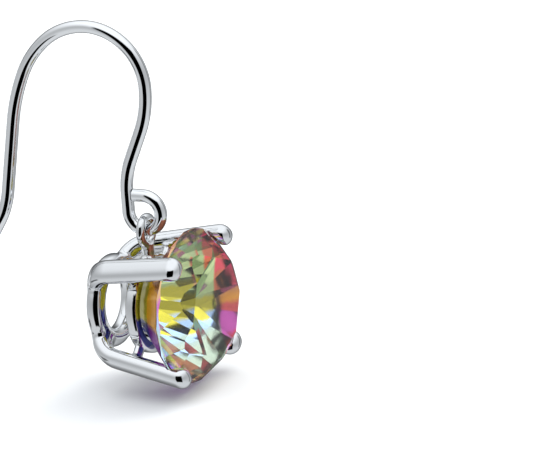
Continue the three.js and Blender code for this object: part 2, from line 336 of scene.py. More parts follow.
def silver(finish):
    material = plain_material(finish["name"], finish["colour"], finish["smooth"])
    tree = material.node_tree
    shader = tree.nodes["Principled BSDF"]
    shader.inputs["Metallic"].default_value = 1.0
    where = add_node(tree, "ShaderNodeTexCoord").outputs["Object"]
    buffing = noise(tree, where, BUFFING_PER_MM, BUFFING_DETAIL)
    roughness = ramp(tree, buffing, BUFFING_LOW, BUFFING_HIGH, finish["smooth"], finish["dull"])
    tree.links.new(roughness, shader.inputs["Roughness"])
    bump = add_node(tree, "ShaderNodeBump")
    bump.inputs["Strength"].default_value = finish["wave"]
    bump.inputs["Distance"].default_value = WAVE_DEPTH
    tree.links.new(noise(tree, where, 1 / finish["wave_size"], 1.0), bump.inputs["Height"])
    tree.links.new(bump.outputs["Normal"], shader.inputs["Normal"])
    return material


buffed_silver = silver(BUFFED)
cast_silver = silver(CAST)
print("finishes:", buffed_silver.name, cast_silver.name)

# %% [markdown]
# ## The ear hook
#
# The hook is one length of round wire bent round pegs. A maker thinks of it as a chain of bends, each
# with a radius and an angle, with straight wire between them. The same chain drives the curve here:
# from the top of the arch, one run goes down the shank and round the loop, and the other down the tail.
#
# The wire itself follows that path, which is a job for Geometry Nodes: a curve, a round profile with a
# named radius, and Curve to Mesh. Each point also carries its own thickness, so the tail's end can be
# rounded off without a second piece.

# %% The hook's path
WIRE = 0.8  # across, in millimetres like every size of the earring
SHANK = [
    {"radius": 3.8, "degrees": 90, "straight": 0},
    {"radius": 7, "degrees": 24, "straight": 2},
    {"radius": 5.6, "degrees": -24, "straight": 1.2},
]
LOOP_BORE = 1.44
LOOP_END_GAP = 0.06
TAIL = [
    {"radius": 4.6, "degrees": 40, "straight": 0},
    {"radius": 6.5, "degrees": 25, "straight": 0},
    {"radius": 13, "degrees": 15, "straight": 4.6},
    {"radius": 6, "degrees": -22, "straight": 1.2},
]
TAIL_NOSE = 0.24
NOSE_STEPS = 7
BEND_STEP = 2.0  # degrees
STRAIGHT_STEP = 0.2

LOOP_RADIUS = (LOOP_BORE + WIRE) / 2
LOOP = [{"radius": LOOP_RADIUS, "degrees": -270, "straight": LOOP_RADIUS - WIRE / 2 - LOOP_END_GAP}]


def heading_vector(degrees, side):
    """The way the wire runs. Heading 0 is level, 90 is down, and side is -1 to the front, 1 to the back."""
    angle = math.radians(degrees)
    return Vector((0, side * math.cos(angle), -math.sin(angle)))


def bend_wire(start, heading, rows, side):
    """The points of a run of bends and straights, and its last heading."""
    points = [start]
    for row in rows:
        steps = math.ceil(abs(row["degrees"]) / BEND_STEP)
        for _ in range(steps):
            step = row["degrees"] / steps
            chord = 2 * row["radius"] * math.sin(math.radians(abs(step) / 2))
            points.append(points[-1] + heading_vector(heading + step / 2, side) * chord)
            heading += step
        pieces = math.ceil(row["straight"] / STRAIGHT_STEP)
        for _ in range(pieces):
            points.append(points[-1] + heading_vector(heading, side) * row["straight"] / pieces)
    return points, heading


apex = Vector((0, 0, WIRE / 2))
shank, shank_heading = bend_wire(apex, 0, SHANK, -1)
loop, _ = bend_wire(shank[-1], shank_heading, LOOP, -1)
tail, tail_heading = bend_wire(apex, 0, TAIL, 1)
nose = [math.pi / 2 * k / NOSE_STEPS for k in range(1, NOSE_STEPS)]
tail_way = heading_vector(tail_heading, 1)
nose_points = [tail[-1] + tail_way * TAIL_NOSE * math.sin(a) for a in nose]
wire_path = nose_points[::-1] + tail[:0:-1] + shank + loop[1:]
wire_scale = [math.cos(a) for a in nose][::-1] + [1.0] * (len(wire_path) - len(nose))
loop_centre = shank[-1] + heading_vector(0, -1) * LOOP_RADIUS
length = sum((b - a).length for a, b in zip(wire_path, wire_path[1:]))
print("wire", round(length, 1), "mm long in", len(wire_path), "points")
print("loop centre", [round(v, 3) for v in loop_centre])

# %% [markdown]
# The node tree takes the path as a chain of edges, turns it into a curve, reads each point's thickness
# and sweeps the round profile. Its result is copied out as a plain mesh, and the modifier goes.

# %% The wire by Geometry Nodes
PROFILE_SIDES = 40
SAME_POINT = 1e-7  # metres


def node_group(name, inputs):
    group = bpy.data.node_groups.new(name, "GeometryNodeTree")
    group.interface.new_socket("Geometry", in_out="INPUT", socket_type="NodeSocketGeometry")
    ids = {}
    for label, kind, value in inputs:
        socket = group.interface.new_socket(label, in_out="INPUT", socket_type=kind)
        socket.default_value = value
        ids[label] = socket.identifier
    group.interface.new_socket("Geometry", in_out="OUTPUT", socket_type="NodeSocketGeometry")
    return group, ids


def finish_tree(tree, geometry, material):
    """Ends a tree in Realize Instances, Set Shade Smooth and Set Material."""
    realize = add_node(tree, "GeometryNodeRealizeInstances")
    painted = add_node(tree, "GeometryNodeSetMaterial")
    painted.inputs["Material"].default_value = material
    shaded = add_node(tree, "GeometryNodeSetShadeSmooth")
    tree.links.new(geometry, realize.inputs["Geometry"])
    tree.links.new(realize.outputs["Geometry"], shaded.inputs["Geometry"])
    tree.links.new(shaded.outputs["Geometry"], painted.inputs["Geometry"])
    tree.links.new(painted.outputs["Geometry"], add_node(tree, "NodeGroupOutput").inputs[0])


def grow(name, base, group, ids, values):
    """Runs a tree on a base mesh and returns its result as a plain mesh object."""
    source = bpy.data.objects.new(name + "_path", base)
    bpy.context.collection.objects.link(source)
    modifier = source.modifiers.new("grow", "NODES")
    modifier.node_group = group
    for label, value in values.items():
        modifier[ids[label]] = value
    evaluated = source.evaluated_get(bpy.context.evaluated_depsgraph_get())
    mesh = bpy.data.meshes.new_from_object(evaluated)
    mesh.name = name
    bpy.data.objects.remove(source)
    piece = bpy.data.objects.new(name, mesh)
    bpy.context.collection.objects.link(piece)
    return piece


def wire_tree(material):
    group, ids = node_group(
        "swept_wire",
        [
            ("Wire radius", "NodeSocketFloat", WIRE / 2 * MM),
            ("Profile sides", "NodeSocketInt", PROFILE_SIDES),
        ],
    )
    entry = add_node(group, "NodeGroupInput")
    curve = add_node(group, "GeometryNodeMeshToCurve")
    thickness = add_node(group, "GeometryNodeInputNamedAttribute", data_type="FLOAT")
    thickness.inputs["Name"].default_value = "thickness"
    profile = add_node(group, "GeometryNodeCurvePrimitiveCircle")
    sweep = add_node(group, "GeometryNodeCurveToMesh")
    sweep.inputs["Fill Caps"].default_value = True
    group.links.new(entry.outputs["Geometry"], curve.inputs["Mesh"])
    group.links.new(entry.outputs["Profile sides"], profile.inputs["Resolution"])
    group.links.new(entry.outputs["Wire radius"], profile.inputs["Radius"])
    group.links.new(curve.outputs["Curve"], sweep.inputs["Curve"])
    group.links.new(thickness.outputs["Attribute"], sweep.inputs["Scale"])
    group.links.new(profile.outputs["Curve"], sweep.inputs["Profile Curve"])
    finish_tree(group, sweep.outputs["Mesh"], material)
    return group, ids


def path_mesh(name, points, scale):
    """A chain of edges through the points, with the wire's relative thickness at each."""
    mesh = bpy.data.meshes.new(name)
    mesh.from_pydata([tuple(p * MM) for p in points], [(k, k + 1) for k in range(len(points) - 1)], [])
    thickness = mesh.attributes.new("thickness", "FLOAT", "POINT")
    thickness.data.foreach_set("value", scale)
    return mesh


def outward(piece):
    """Joins doubled points and turns every face outwards."""
    shape = bmesh.new()
    shape.from_mesh(piece.data)
    bmesh.ops.remove_doubles(shape, verts=shape.verts, dist=SAME_POINT)
    bmesh.ops.recalc_face_normals(shape, faces=shape.faces)
    shape.to_mesh(piece.data)
    shape.free()


hook_tree, hook_ids = wire_tree(buffed_silver)
hook_values = {"Wire radius": WIRE / 2 * MM, "Profile sides": PROFILE_SIDES}
hook_path = path_mesh("hook_path", wire_path, wire_scale)
hook = grow("hook_wire", hook_path, hook_tree, hook_ids, hook_values)
outward(hook)
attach(hook, "hook")
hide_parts("ear_hook")
print("hook_wire:", len(hook.data.polygons), "faces")

# %% [markdown]
# ## The basket setting
#
# The setting is cast in one piece from wax, so its prongs, rings and bail flow into each other with
# soft fillets. Joining sharp solids would leave hard creases that no casting has. A better way is to
# say how far any point in space is from each part, and to blend those distances: where two parts come
# close, the blended distance draws a fillet between them.
#
# First come the sizes. They are measured from the centre of the girdle's front edge, with Y pointing
# back along the stone's axis. DROP says where that centre lies when the drop hangs in the loop.

# %% The setting's sizes
STONE_RADIUS = 4.85
TABLE_RADIUS = 3.3
CROWN = math.radians(44)
STAR = math.radians(29)
UPPER_GIRDLE = math.radians(50)
GIRDLE = 0.3
PAVILION = math.radians(41.5)
LOWER_GIRDLE = math.radians(42.6)

PRONG_WIDE, PRONG_THICK, PRONG_SQUARE = 1.53, 1.1, 2.5
TILT = math.radians(12)
TIP_OVERHANG = 0.21
TIP_RADIAL = STONE_RADIUS + TIP_OVERHANG
TIP_REACH = 0.4
TIP_LENGTH = 0.7
TIP_BULGE, BULGE_LENGTH = 0.14, 0.6
BACK_DEPTH, BACK_RADIUS, BACK_WIDE, BACK_THICK = 5.73, 2.35, 1.2, 1.1
CULET = GIRDLE + STONE_RADIUS * math.tan(PAVILION)
GALLERY_FRONT, GALLERY_HIGH, GALLERY_WALL, GALLERY_SQUARE = 2.55, 0.82, 0.72, 4.0
GALLERY_GAP = 0.1
GALLERY_INNER = STONE_RADIUS * (1 - (GALLERY_FRONT - GIRDLE) / (CULET - GIRDLE)) + GALLERY_GAP
GALLERY_RADIUS = GALLERY_INNER + GALLERY_WALL / 2
GALLERY_DEPTH = GALLERY_FRONT + GALLERY_HIGH / 2
BACK_RING = (BACK_DEPTH, BACK_RADIUS, BACK_WIDE, BACK_THICK, PRONG_SQUARE)
GALLERY_RING = (GALLERY_DEPTH, GALLERY_RADIUS, GALLERY_WALL, GALLERY_HIGH, GALLERY_SQUARE)
WEB_WIDE, WEB_STEP = 0.8, 0.3
WEB_HIGH = GALLERY_HIGH - WEB_STEP
BAIL_WIRE = 0.55
BAIL_ROOM = 0.15
BAIL_RADIUS = (WIRE + BAIL_WIRE) / 2 + BAIL_ROOM
FOOT_RADIUS, FOOT_HIGH = 0.4, 0.53
BAIL_HEIGHT = GALLERY_INNER + GALLERY_WALL + FOOT_HIGH + BAIL_RADIUS + BAIL_WIRE / 2
HANG_GAP = 0.12
SEAT_GAP = 0.06
BACK_FILLET, WEB_FILLET, FOOT_FILLET, BAIL_FILLET = 0.28, 0.15, 0.2, 0.12

lean = math.tan(TILT)
bend_share = 1 - math.sin(TILT)
prong_depth = BACK_DEPTH + TIP_REACH
BEND = (TIP_RADIAL - BACK_RADIUS - prong_depth * lean) / (math.cos(TILT) - lean * bend_share)
PRONG_LENGTH = (prong_depth - BEND * bend_share) / math.cos(TILT)
bail_top = loop_centre.z - LOOP_BORE / 2 + HANG_GAP + BAIL_WIRE / 2
DROP = Vector((0, loop_centre.y - GALLERY_DEPTH, bail_top - BAIL_RADIUS - BAIL_HEIGHT))
print("drop centre", [round(v, 3) for v in DROP], "prong bend radius", round(BEND, 3))

# %% [markdown]
# ### Distances
#
# Each helper takes an array of points and returns how far they are outside its form, so a negative
# number is inside. The section of a prong is a superellipse, between an ellipse and a rounded bar.
# Blend takes the nearer of two distances, and where they are close it draws the fillet.

# %% Distance to each form
TINY = 1e-6


def superellipse(u, v, half_u, half_v, square):
    """Roughly how far a point is outside a section. A square of 2 is an ellipse, and 4 is boxy."""
    reach = (np.abs(u / half_u) ** square + np.abs(v / half_v) ** square) ** (1 / square)
    return np.hypot(u, v) * (1 - 1 / np.maximum(reach, TINY))


def blend(a, b, fillet):
    mix = np.clip(0.5 + 0.5 * (b - a) / fillet, 0, 1)
    return b * (1 - mix) + a * mix - fillet * mix * (1 - mix)


def fold(p):
    """Folds the X and Z axes, so that all four prongs lie on one. Returns the places along and across it."""
    x, z = np.abs(p[:, 0]), np.abs(p[:, 2])
    return (x + z) / math.sqrt(2), (x - z) / math.sqrt(2)


def ring_distance(p, depth, radius, wide, high, square):
    return superellipse(np.hypot(p[:, 0], p[:, 2]) - radius, p[:, 1] - depth, wide / 2, high / 2, square)


def prong_distance(p):
    """A straight bar with a rounded, slightly thicker tip, then a bend that ends on the back ring."""
    radial, across = fold(p)
    back = p[:, 1] + TIP_REACH
    along = back * math.cos(TILT) - (radial - TIP_RADIAL) * math.sin(TILT)
    out = (radial - TIP_RADIAL) * math.cos(TILT) + back * math.sin(TILT)
    in_bend = along > PRONG_LENGTH
    turned = np.arctan2(along - PRONG_LENGTH, out + BEND)
    side = np.where(in_bend, np.hypot(along - PRONG_LENGTH, out + BEND) - BEND, out)
    far_end = math.pi / 2 - TILT
    past_end = np.where(in_bend, (turned - far_end) * BEND, -BEND)
    before = np.minimum(along, 0)
    bulge = TIP_BULGE * np.clip(0.5 - along / BULGE_LENGTH, 0, 1)
    thick = np.abs((side + bulge / 2) / ((PRONG_THICK + bulge) / 2)) ** PRONG_SQUARE
    wide = np.abs(across / (PRONG_WIDE / 2)) ** PRONG_SQUARE
    body = (thick + wide) ** (1 / PRONG_SQUARE)
    reach = np.sqrt(body**2 + (before / TIP_LENGTH) ** 2)
    size = np.sqrt(side**2 + across**2 + before**2)
    return np.maximum(size * (1 - 1 / np.maximum(reach, TINY)), past_end)


def web_distance(p):
    radial, across = fold(p)
    prong_at = TIP_RADIAL - (GALLERY_DEPTH + TIP_REACH) * lean
    section = superellipse(across, p[:, 1] - GALLERY_DEPTH, WEB_WIDE / 2, WEB_HIGH / 2, PRONG_SQUARE)
    return np.maximum(section, np.maximum(GALLERY_RADIUS - radial, radial - prong_at))


def bail_distance(p):
    """A round ring that stands on a short post."""
    x, depth, z = p[:, 0], p[:, 1] - GALLERY_DEPTH, p[:, 2]
    ring = np.hypot(np.hypot(x, z - BAIL_HEIGHT) - BAIL_RADIUS, depth) - BAIL_WIRE / 2
    post = np.hypot(x, depth) - FOOT_RADIUS
    foot = np.maximum(post, np.maximum(GALLERY_RADIUS - z, z - (BAIL_HEIGHT - BAIL_RADIUS)))
    return blend(ring, foot, BAIL_FILLET)


axis_point = np.array([[0.0, GALLERY_DEPTH, 0.0]])
to_gallery = ring_distance(axis_point, *GALLERY_RING)
print("from the stone's axis to the gallery ring:", round(float(to_gallery[0]), 2), "mm")

# %% [markdown]
# ### The stone's planes
#
# A cutter makes a brilliant by grinding flat planes on a round blank, each at an azimuth, a slope and
# a distance. One list of planes serves twice: it cuts the seat in the prongs, with a hair of room, and
# then it cuts the stone itself.

# %% The list of facet planes
MAIN = 8


def plane(kind, azimuth, slope, radius, depth):
    """The plane through a point of the stone. A slope of 0 faces the back, and 180 degrees the front."""
    spoke = np.array([math.cos(azimuth), 0, math.sin(azimuth)])
    back = np.array([0, 1, 0])
    normal = spoke * math.sin(slope) + back * math.cos(slope)
    return {"kind": kind, "normal": normal, "offset": float(normal @ (spoke * radius + back * depth))}


def facet_planes():
    step = 2 * math.pi / MAIN
    table_depth = -(STONE_RADIUS - TABLE_RADIUS) * math.tan(CROWN)
    edge, chord = TABLE_RADIUS * math.cos(step / 2), STONE_RADIUS * math.cos(step / 4)
    planes = [plane("table", 0, math.pi, 0, table_depth)]
    for k in range(MAIN):
        a = k * step
        planes.append(plane("kite", a, math.pi - CROWN, STONE_RADIUS, 0))
        planes.append(plane("star", a + step / 2, math.pi - STAR, edge, table_depth))
        planes.append(plane("main", a, PAVILION, STONE_RADIUS, GIRDLE))
        for side in (-step / 4, step / 4):
            planes.append(plane("upper_girdle", a + side, math.pi - UPPER_GIRDLE, chord, 0))
            planes.append(plane("lower_girdle", a + side, LOWER_GIRDLE, chord, GIRDLE))
    return planes


FACETS = facet_planes()
print(len(FACETS), "facets")

# %% [markdown]
# ### Casting it
#
# A jeweller builds a wax model of the setting from short lengths of wax wire, and smooths the joints
# before it is cast. The same is done here. Rough tubes are laid where the parts are: the prong by
# sweeping its section along its path, and four copies of it set round the stone's axis by Geometry
# Nodes. The rings, the webs and the bail's foot are swept in the same way. None of them has to be
# exact, because they only say where there is metal.

# %% Rough forms for the wax
PRONGS, FIRST_TURN = 4, math.radians(45)
PRONG_SIDES, WEB_SIDES, RING_SIDES, RING_STEPS = 20, 12, 16, 64
TIP_NARROW, TIP_NARROW_FROM, TIP_SHARE = 0.55, -0.3, 0.8
BAR_POINTS, BEND_POINTS = 14, 9
WEB_END = 4.3  # inside the prongs
AXIS_X, AXIS_Y, AXIS_Z = np.eye(3)


def sweep_mesh(points, normals, across, half_sizes, sides, closed):
    """A tube mesh through points, with a superellipse section in each pair of directions."""
    angles = np.linspace(0, 2 * math.pi, sides, endpoint=False)
    rows = []
    for point, normal, half in zip(points, normals, half_sizes):
        for angle in angles:
            rows.append(point + normal * half[0] * math.cos(angle) + across * half[1] * math.sin(angle))
    count = len(points)
    faces = []
    for k in range(count if closed else count - 1):
        for i in range(sides):
            j, n = (i + 1) % sides, (k + 1) % count
            faces.append((k * sides + i, k * sides + j, n * sides + j, n * sides + i))
    if not closed:
        faces += [tuple(range(sides)), tuple(range((count - 1) * sides, count * sides))]
    return rows, faces


def prong_path():
    """The centreline in the plane (out, back), with the outward normal and the size at each point."""
    path = []
    way = Vector((-math.sin(TILT), math.cos(TILT)))
    tip = Vector((TIP_RADIAL, -TIP_REACH))
    for s in np.linspace(-TIP_LENGTH * TIP_SHARE, PRONG_LENGTH, BAR_POINTS):
        size = TIP_NARROW if s < TIP_NARROW_FROM else 1.0
        path.append((tip + way * s, Vector((math.cos(TILT), math.sin(TILT))), size))
    centre = Vector((BACK_RADIUS, BACK_DEPTH - BEND))
    for a in np.linspace(TILT, math.pi / 2, BEND_POINTS)[1:]:
        normal = Vector((math.cos(a), math.sin(a)))
        path.append((centre + normal * BEND, normal, 1.0))
    return path


def one_prong():
    """A single prong as a mesh, standing in the plane of X and Y."""
    path = prong_path()
    points = [np.array([p.x, p.y, 0]) for p, _, _ in path]
    normals = [np.array([n.x, n.y, 0]) for _, n, _ in path]
    sizes = [(PRONG_THICK / 2 * s, PRONG_WIDE / 2 * s) for _, _, s in path]
    rows, faces = sweep_mesh(points, normals, AXIS_Z, sizes, PRONG_SIDES, False)
    mesh = bpy.data.meshes.new("one_prong")
    mesh.from_pydata([tuple(r) for r in rows], [], faces)
    return mesh


def set_round_tree(material):
    """A tree that sets copies of a form round the Y axis."""
    group, ids = node_group(
        "set_round_the_stone",
        [("Prongs", "NodeSocketInt", PRONGS), ("First turn", "NodeSocketFloat", FIRST_TURN)],
    )
    entry = add_node(group, "NodeGroupInput")
    points = add_node(group, "GeometryNodePoints")
    copies = add_node(group, "GeometryNodeInstanceOnPoints")
    turn = add_node(group, "ShaderNodeCombineXYZ")
    share = maths(group, "DIVIDE", 2 * math.pi, entry.outputs["Prongs"])
    number = add_node(group, "GeometryNodeInputIndex").outputs["Index"]
    angle = maths(group, "ADD", maths(group, "MULTIPLY", number, share), entry.outputs["First turn"])
    group.links.new(maths(group, "MULTIPLY", angle, -1.0), turn.inputs["Y"])
    group.links.new(entry.outputs["Prongs"], points.inputs["Count"])
    group.links.new(points.outputs[0], copies.inputs["Points"])
    group.links.new(entry.outputs["Geometry"], copies.inputs["Instance"])
    group.links.new(turn.outputs[0], copies.inputs["Rotation"])
    finish_tree(group, copies.outputs["Instances"], material)
    return group, ids


round_tree, round_ids = set_round_tree(cast_silver)
round_values = {"Prongs": PRONGS, "First turn": FIRST_TURN}
prongs = grow("rough_prongs", one_prong(), round_tree, round_ids, round_values)
rough = bmesh.new()
rough.from_mesh(prongs.data)
bpy.data.objects.remove(prongs)


def add_tube(points, normals, across, half_sizes, sides, closed=False):
    rows, faces = sweep_mesh(points, normals, across, half_sizes, sides, closed)
    points = [rough.verts.new(Vector(row)) for row in rows]
    for face in faces:
        rough.faces.new([points[i] for i in face])


def add_ring(centre, radius, half_wide, half_high):
    turns = np.linspace(0, 2 * math.pi, RING_STEPS, endpoint=False)
    spokes = [AXIS_X * math.cos(a) + AXIS_Z * math.sin(a) for a in turns]
    points = [np.array(centre) + s * radius for s in spokes]
    add_tube(points, spokes, AXIS_Y, [(half_wide, half_high)] * RING_STEPS, RING_SIDES, closed=True)


for k in range(PRONGS):
    turn = FIRST_TURN + k * 2 * math.pi / PRONGS
    spoke = AXIS_X * math.cos(turn) + AXIS_Z * math.sin(turn)
    beside = AXIS_Z * math.cos(turn) - AXIS_X * math.sin(turn)
    web = [spoke * r + AXIS_Y * GALLERY_DEPTH for r in (GALLERY_RADIUS, WEB_END)]
    add_tube(web, [AXIS_Y] * 2, beside, [(WEB_HIGH / 2, WEB_WIDE / 2)] * 2, WEB_SIDES)
add_ring((0, BACK_DEPTH, 0), BACK_RADIUS, BACK_WIDE / 2, BACK_THICK / 2)
add_ring((0, GALLERY_DEPTH, 0), GALLERY_RADIUS, GALLERY_WALL / 2, GALLERY_HIGH / 2)
add_ring((0, GALLERY_DEPTH, BAIL_HEIGHT), BAIL_RADIUS, BAIL_WIRE / 2, BAIL_WIRE / 2)
foot = [AXIS_Y * GALLERY_DEPTH + AXIS_Z * z for z in (GALLERY_RADIUS, BAIL_HEIGHT - BAIL_RADIUS)]
add_tube(foot, [AXIS_X] * 2, AXIS_Y, [(FOOT_RADIUS, FOOT_RADIUS)] * 2, RING_SIDES)
bmesh.ops.recalc_face_normals(rough, faces=rough.faces)
rough_mesh = bpy.data.meshes.new("rough_wax")
rough.to_mesh(rough_mesh)
rough.free()
print("rough forms:", len(rough_mesh.polygons), "faces")

# %% [markdown]
# ### One skin
#
# A voxel remesh fuses the rough forms into one closed skin of even faces. Then each point of the skin
# slides along the slope of the blended distance until it lies on the casting's true surface, fillets
# and seat included, and takes that slope as its normal. A few rounds of evening out keep the faces
# from bunching up. A mirror shows every ripple, and exact normals keep the reflections on flat sides
# as even as polishing does.

# %% One skin, slid onto the true surface
VOXEL = 0.085
SLOPE_STEP, LEAST_STEEP = 0.01, 0.05
FIRST_MOVE, LATER_MOVE = 0.12, 0.05  # the most that a point slides in one round
FIRST_ROUNDS, RELAX_ROUNDS, LAST_ROUNDS = 6, 8, 3
RELAX_SHARE = 0.5
MOST_POINTS = 99.9  # per cent of the points, for the measure that is printed


def drop_metal(p):
    """Distance to the whole casting. Points are in millimetres from the drop's centre."""
    metal = blend(ring_distance(p, *BACK_RING), prong_distance(p), BACK_FILLET)
    gallery = blend(ring_distance(p, *GALLERY_RING), bail_distance(p), FOOT_FILLET)
    metal = blend(metal, blend(gallery, web_distance(p), WEB_FILLET), WEB_FILLET)
    stone = np.max([p @ f["normal"] - f["offset"] for f in FACETS], axis=0)
    stone = np.maximum(stone, np.hypot(p[:, 0], p[:, 2]) - STONE_RADIUS) - SEAT_GAP
    return np.maximum(metal, -stone)


def fused(mesh, voxel):
    source = bpy.data.objects.new("wax", mesh)
    bpy.context.collection.objects.link(source)
    remesh = source.modifiers.new("fuse", "REMESH")
    remesh.mode = "VOXEL"
    remesh.voxel_size = voxel
    evaluated = source.evaluated_get(bpy.context.evaluated_depsgraph_get())
    result = bpy.data.meshes.new_from_object(evaluated)
    bpy.data.objects.remove(source)
    return result


def slope_at(points, distance):
    """The direction in which a distance grows, at each point, and how steeply."""
    slopes = []
    for step in np.eye(3) * SLOPE_STEP:
        slopes.append((distance(points + step) - distance(points - step)) / (2 * SLOPE_STEP))
    return np.stack(slopes, 1)


def slide_onto(points, distance, rounds, most):
    """Moves points along the slope of a distance until they lie where it is zero."""
    for _ in range(rounds):
        slope = slope_at(points, distance)
        steep = np.maximum((slope**2).sum(1), LEAST_STEEP)
        move = -(distance(points) / steep)[:, None] * slope
        size = np.linalg.norm(move, axis=1, keepdims=True)
        points = points + move * np.minimum(1, most / np.maximum(size, TINY))
    return points


def relax(points, edges, distance, rounds):
    """Evens out the skin: each point moves towards its neighbours' middle, then back onto the surface."""
    ends = np.concatenate([edges, edges[:, ::-1]])
    count = np.bincount(ends[:, 0], minlength=len(points))[:, None]
    for _ in range(rounds):
        total = np.zeros_like(points)
        np.add.at(total, ends[:, 0], points[ends[:, 1]])
        points = points + RELAX_SHARE * (total / count - points)
        points = slide_onto(points, distance, 1, LATER_MOVE)
    return points


wax = fused(rough_mesh, VOXEL)
skin = np.empty(len(wax.vertices) * 3)
wax.vertices.foreach_get("co", skin)
skin = skin.reshape(-1, 3)
edges = np.empty(len(wax.edges) * 2, dtype=np.int64)
wax.edges.foreach_get("vertices", edges)
edges = edges.reshape(-1, 2)
skin = slide_onto(skin, drop_metal, FIRST_ROUNDS, FIRST_MOVE)
skin = relax(skin, edges, drop_metal, RELAX_ROUNDS)
skin = slide_onto(skin, drop_metal, LAST_ROUNDS, LATER_MOVE)
left = float(np.percentile(np.abs(drop_metal(skin)), MOST_POINTS))
print("skin:", len(skin), "points,", MOST_POINTS, "% of them within", round(left, 4), "mm of the surface")

wax.vertices.foreach_set("co", ((skin + np.array(DROP)) * MM).ravel())
wax.update()
wax.materials.clear()
wax.materials.append(cast_silver)
wax.polygons.foreach_set("use_smooth", [True] * len(wax.polygons))
outwards = slope_at(skin, drop_metal)
outwards /= np.maximum(np.linalg.norm(outwards, axis=1, keepdims=True), TINY)
wax.normals_split_custom_set_from_vertices(outwards.tolist())
setting = bpy.data.objects.new("cast_basket", wax)
bpy.context.collection.objects.link(setting)
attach(setting, "drop")
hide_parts("basket_setting")
print("cast_basket:", len(wax.polygons), "faces")

# %% [markdown]
# ## The stone
#
# The stone is a round brilliant: a table, eight kites, eight stars and sixteen upper girdle facets on
# the crown, then eight mains and sixteen lower girdle facets down to the culet. It starts as a round
# blank, and each plane of the list grinds one facet, just as the cutter's wheel does. Flat faces and
# hard edges are right here, because they are what makes it sparkle.

# %% Cutting the facets
BLANK_SIDES = 192
BLANK_SPARE = 1.0
BLANK_FRONT, BLANK_BACK = -3.0, CULET + BLANK_SPARE


def cut_stone():
    """Grinds a round blank, facet by facet. Each face keeps the number of its facet, 0 for the girdle."""
    shape = bmesh.new()
    middle = Matrix.Translation((0, (BLANK_FRONT + BLANK_BACK) / 2, 0))
    bmesh.ops.create_cone(
        shape,
        cap_ends=True,
        segments=BLANK_SIDES,
        radius1=STONE_RADIUS,
        radius2=STONE_RADIUS,
        depth=BLANK_BACK - BLANK_FRONT,
        matrix=middle @ Matrix.Rotation(math.pi / 2, 4, "X"),
    )
    facet = shape.faces.layers.int.new("facet")
    for number, wheel in enumerate(FACETS, start=1):
        normal = Vector(wheel["normal"])
        result = bmesh.ops.bisect_plane(
            shape,
            geom=shape.verts[:] + shape.edges[:] + shape.faces[:],
            plane_co=normal * wheel["offset"],
            plane_no=normal,
            clear_outer=True,
            dist=TINY,
        )
        rim = [e for e in result["geom_cut"] if isinstance(e, bmesh.types.BMEdge)]
        made = bmesh.ops.contextual_create(shape, geom=rim)["faces"] if len(rim) > 2 else []
        for face in made:
            face[facet] = number
    bmesh.ops.recalc_face_normals(shape, faces=shape.faces)
    return shape, facet


shape, facet = cut_stone()
print("cut stone:", len(shape.faces), "faces with the girdle's")

# %% [markdown]
# ### The clear crown and the film
#
# The rainbow colours of such a stone come from a thin metal film on its back. So the crown and girdle
# are clear, and the pavilion is a coloured mirror, seen through the crown. The colours lie in soft
# bands from the bottom of the stone to its top, in strips side by side, so a material can draw them
# from the object's own coordinates. Each facet shifts its bands a little and is a little brighter or
# darker than the next, since the film's colour changes with angle.

# %% The stone's materials
CROWN_IOR = 1.62
CROWN_WARM, CROWN_COOL = (1.0, 0.985, 0.99, 1), (0.97, 0.99, 1.0, 1)
CROWN_TINTS_PER_MM = 0.3

# The film's bands, from the lowest to the highest, start at a height that is a share of the stone's
# radius, and a tint is written as a screen shows it. Strips are parted at edges in millimetres.
FILM_INSIDE = {
    "axis": "X",
    "strips": [
        [
            (-1.0, (196, 120, 214)),
            (-0.3, (250, 206, 110)),
            (0.1, (244, 212, 226)),
        ],
        [
            (-1.0, (180, 196, 176)),
            (-0.45, (172, 192, 182)),
            (-0.37, (176, 206, 242)),
            (-0.23, (206, 196, 70)),
            (0.06, (184, 202, 144)),
            (0.7, (204, 216, 176)),
        ],
        [
            (-1.0, (240, 80, 96)),
            (-0.6, (222, 112, 208)),
            (-0.12, (236, 190, 136)),
            (0.05, (214, 120, 84)),
            (0.3, (246, 92, 104)),
            (0.64, (252, 124, 128)),
        ],
    ],
    "edges": [-0.7, 2.35],
    "dull": 0.09,
    "metal": 1.0,
}
FILM_OUTSIDE = {
    "axis": "Y",
    "strips": [
        [(-1.0, (165, 62, 180)), (-0.12, (250, 178, 50)), (0.5, (150, 90, 66))],
        [(-1.0, (70, 76, 160)), (-0.12, (196, 184, 48)), (0.5, (120, 104, 66))],
    ],
    "edges": [1.75],
    "dull": 0.2,
    "metal": 0.55,
}
BAND_EDGE = 0.03
STRIP_BLEND = 0.1
WANDER_PER_MM, WANDER_DETAIL, WANDER = 0.5, 2.0, 0.2
FACET_SHIFT = 0.05
DARKEST_FACET, BRIGHTEST_FACET = 0.82, 1.12


def seen(colour):
    """Turns a colour as a screen shows it into the amounts of light the renderer works with."""
    parts = [c / 255 for c in colour]
    return tuple(c / 12.92 if c <= 0.04045 else ((c + 0.055) / 1.055) ** 2.4 for c in parts)


def clear_crown():
    material = plain_material("clear_crown", (1, 1, 1), 0.0)
    tree = material.node_tree
    shader = tree.nodes["Principled BSDF"]
    shader.inputs["Transmission Weight"].default_value = 1.0
    shader.inputs["IOR"].default_value = CROWN_IOR
    where = add_node(tree, "ShaderNodeTexCoord").outputs["Object"]
    tint = add_node(tree, "ShaderNodeMix", data_type="RGBA")
    tree.links.new(noise(tree, where, CROWN_TINTS_PER_MM, 1.0), tint.inputs["Factor"])
    tint.inputs["A"].default_value = CROWN_WARM
    tint.inputs["B"].default_value = CROWN_COOL
    tree.links.new(tint.outputs["Result"], shader.inputs["Base Color"])
    return material


